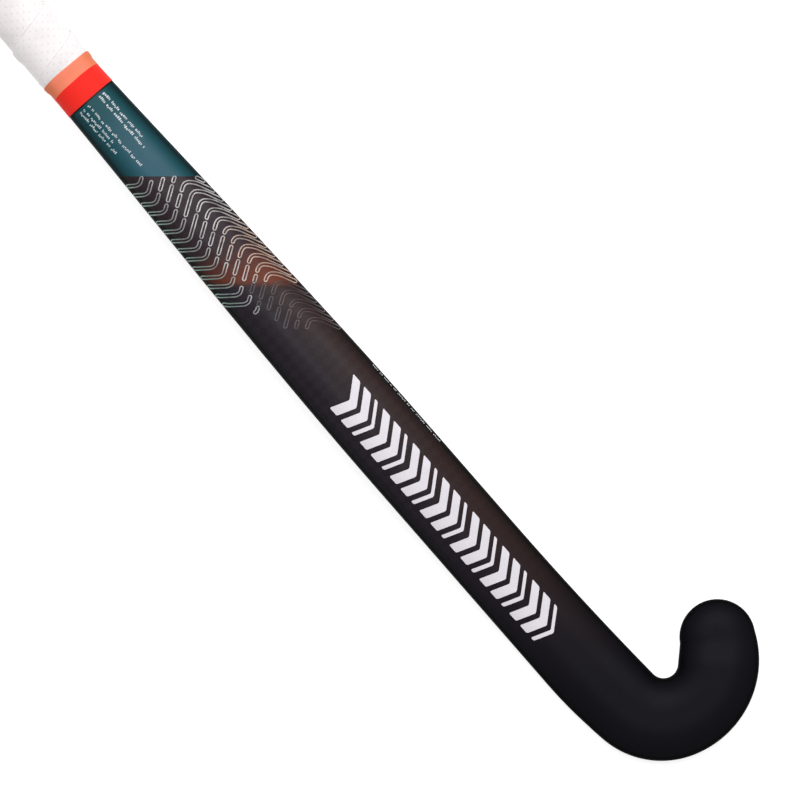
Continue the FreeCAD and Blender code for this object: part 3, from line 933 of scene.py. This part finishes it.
# (run along the handle, lift) round the strip's section, from the edge that lies on top
def stripProfile():
    wall, under = grip["wall"], grip["underLift"]
    raised = under + wall
    lap = grip["overlap"]
    outer = [(0.0, raised + 0.12), (0.12, raised + 0.6), (0.5, raised + 0.88), (1.2, raised + wall),
             (lap - 1.2, raised + wall), (lap + 0.6, raised + 0.55 * wall), (lap + 2.4, raised + 0.12),
             (lap + 4.5, raised), (15.0, raised + 0.03), (grip["pitch"] - 3, raised),
             (grip["pitch"], raised - 0.05), (grip["pitch"] + 3, raised - 0.12),
             (grip["width"] - 0.3, raised - 0.25)]
    inner = [(grip["width"], under + 0.3), (grip["width"] - 0.4, under + 0.02), (grip["pitch"], under),
             (15.0, under), (lap + 2.6, under), (lap + 0.8, under + 0.5 * wall), (lap - 0.6, raised - 0.1),
             (1.0, raised + 0.02)]
    return outer + inner


def gripPoint(reach, index, lift):    # the tape holds the head-side end of the grip down
    free = smoothStep((reach - grip["start"]) / grip["swellRun"])
    held = min(max(reach, grip["start"] - 8), grip["end"] + 8)
    return ringVertex(held, index, mix(grip["pressedLift"] + grip["pressedShare"] * lift, lift, free))


def ringVertex(reach, index, lift):
    low = math.floor(reach)
    _, first = skinRing(low, lift)
    _, second = skinRing(low + 1, lift)
    return first[index].lerp(second[index], reach - low)


def buildGrip():
    profile = stripProfile()
    bm = bmesh.new()
    alongs, arounds = {}, {}
    level = shaftRing(0.5 * (grip["start"] + grip["end"]))
    girth = 2 * ringLengths(level)[0]
    turnShares = [1 - (value % girth) / girth for value in ringLengths(level)]
    turnShares = [share % 1 for share in turnShares]
    turns = math.ceil((grip["end"] - grip["start"] + grip["width"]) / grip["pitch"]) + 1
    # one step for each ring vertex passed, in the order they come round from the crest
    passing = sorted(range(ringCount), key=lambda index: turnShares[index])
    winding = [(turn + turnShares[index], index) for turn in range(turns) for index in passing]
    ring = None
    for wound, index in winding:
        base = grip["end"] + 0.5 * grip["pitch"] - grip["pitch"] * wound
        ring = nextRing(bm, ring, [gripPoint(base - run, index, lift) for run, lift in profile])
        alongs.update({vert: girth * wound for vert in ring})
        arounds.update({vert: run / 1000 for vert, (run, lift) in zip(ring, profile)})
        if wound == winding[0][0]:
            capRing(bm, ring)
    capRing(bm, ring)
    layUv(bm, alongs, arounds)
    for reach, direction in ((grip["end"], -1), (grip["start"], 1)):
        cut = bmesh.ops.bisect_plane(bm, geom=bm.verts[:] + bm.edges[:] + bm.faces[:],
                                     plane_co=rowPoint(reach, 0, 0), plane_no=(direction, 0, 0),
                                     clear_outer=True, dist=0.000001)
        edges = [item for item in cut["geom_cut"] if isinstance(item, bmesh.types.BMEdge)]
        bmesh.ops.holes_fill(bm, edges=edges)
    return finishPiece(bm, "gripWrap", makeGripMaterial(), sharp=50)


gripWrap = buildGrip()
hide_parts("grip_wrap")

# the butt cap: a disc with raised rings, and a stud that stands in the handle
cap = dict(edge=0.7, recess=0.5, rings=3, studRadius=4.0, studLength=16.0)


def scaledRing(reach, share):
    points = shaftRing(reach, -0.02)
    heights = [p.z for p in points]
    middle = Vector((points[0].x, midlineY / 1000, (max(heights) + min(heights)) / 2))
    return [middle + (p - middle) * share for p in points]


def studRing(reach):
    points = scaledRing(reach, 1)
    middle = sum(points, Vector()) / len(points)
    return [middle + (p - middle).normalized() * cap["studRadius"] / 1000 for p in points]


def buildCap():
    end = stick["length"]
    back = end - stick["capThickness"]
    rows = [(back, 1.0), (end - cap["edge"], 1.0), (end - 0.3 * cap["edge"], 0.985), (end, 0.955),
            (end, 0.84), (end - cap["recess"], 0.81)]
    for i in range(cap["rings"]):
        share = 0.74 - 0.2 * i
        rows += [(end - cap["recess"], share), (end - 0.2, share - 0.02), (end - 0.2, share - 0.06),
                 (end - cap["recess"], share - 0.08)]
    bm = bmesh.new()
    stations = [studRing(back - cap["studLength"]), studRing(back), *[scaledRing(*row) for row in rows]]
    rings = ringStack(bm, stations)
    capRing(bm, rings[0])
    capRing(bm, rings[-1])
    return finishPiece(bm, "endCap", makeRubberMaterial())


endCap = buildCap()
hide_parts("end_cap")

# finishes of the nodes that have no piece of their own here, and of those that the pieces stand for
innerFoam = makeFoamMaterial("light foam", (0.62, 0.60, 0.52), (0.40, 0.38, 0.32), 700)
innerLaminate = makeLaminateMaterial("inner laminate", (0.02, 0.02, 0.022), (0.06, 0.06, 0.065))
innerFinishes = dict(
    face_patch=makeLaminateMaterial("face laminate", (0.10, 0.09, 0.05), (0.24, 0.21, 0.12)),
    head_core=makeFoamMaterial("core foam", (0.30, 0.27, 0.22), (0.18, 0.16, 0.13), 1100),
    toe_side_foam=innerFoam, heel_side_foam=innerFoam,
    toe_side_tube=innerLaminate, heel_side_tube=innerLaminate,
    gel_damper=makeGelMaterial(),
    handle_plug=makeFoamMaterial("plug foam", (0.20, 0.20, 0.21), (0.10, 0.10, 0.11), 900),
    grip_underwrap=makeFoamMaterial("underwrap foam", (0.08, 0.08, 0.09), (0.04, 0.04, 0.045), 1300),
    outer_shell=shell.data.materials[0], grip_wrap=gripWrap.data.materials[0],
    finishing_tape=tape.data.materials[0], collar_band=band.data.materials[0],
    end_cap=endCap.data.materials[0],
)
for nodeName, finish in innerFinishes.items():
    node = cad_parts[nodeName]
    node.data.materials.clear()
    node.data.materials.append(finish)
print("inner finishes", len(innerFinishes))

# stage, light and camera
lights = dict(world=0.30, place=(-0.40, 0.70, 2.1), size=2.2, power=54.0, floorGlow=0.78)
view = dict(reach=284.03, across=21.45, height=10.0, roll=48.94, width=486.8, lens=900.0)


def makeStage():
    bm = bmesh.new()
    bmesh.ops.create_grid(bm, x_segments=2, y_segments=2, size=6)
    mesh = bpy.data.meshes.new("floor")
    bm.to_mesh(mesh)
    bm.free()
    pale = newMaterial("pale floor", (0.9, 0.9, 0.9), 0.9)
    speck = noise(pale, place(pale), 40.0)
    paint(pale, "Base Color", blendColor(pale, speck, (0.50, 0.50, 0.50), (0.52, 0.52, 0.52)))
    shaderOf(pale).inputs["Emission Color"].default_value = (1, 1, 1, 1)
    shaderOf(pale).inputs["Emission Strength"].default_value = lights["floorGlow"]
    mesh.materials.append(pale)
    floor = bpy.data.objects.new("floor", mesh)
    bpy.context.scene.collection.objects.link(floor)


def makeLamp():    # one large square lamp overhead, turned to the middle of the stick
    light = bpy.data.lights.new("overhead", "AREA")
    light.shape = "RECTANGLE"
    light.size = lights["size"]
    light.size_y = lights["size"]
    light.energy = lights["power"]
    lamp = bpy.data.objects.new("overhead", light)
    lamp.location = lights["place"]
    lamp.rotation_euler = (-Vector(lights["place"])).to_track_quat("-Z", "Y").to_euler()
    bpy.context.scene.collection.objects.link(lamp)


def makeLights():
    world = bpy.data.worlds.new("studio")
    world.use_nodes = True
    world.node_tree.nodes["Background"].inputs["Color"].default_value = (1, 1, 1, 1)
    world.node_tree.nodes["Background"].inputs["Strength"].default_value = lights["world"]
    bpy.context.scene.world = world
    makeLamp()
    bpy.context.scene.view_settings.view_transform = "Standard"


def makeCamera():
    data = bpy.data.cameras.new("camera")
    data.lens = view["lens"]
    data.sensor_width = 36
    camera = bpy.data.objects.new("camera", data)
    aim = rowPoint(view["reach"], view["across"], view["height"])
    distance = view["width"] / 1000 * view["lens"] / data.sensor_width
    camera.location = aim + Vector((0, 0, distance))
    camera.rotation_euler = (0, 0, math.radians(view["roll"]))
    data.clip_end = 50
    bpy.context.scene.collection.objects.link(camera)
    bpy.context.scene.camera = camera


makeStage()
makeLights()
makeCamera()
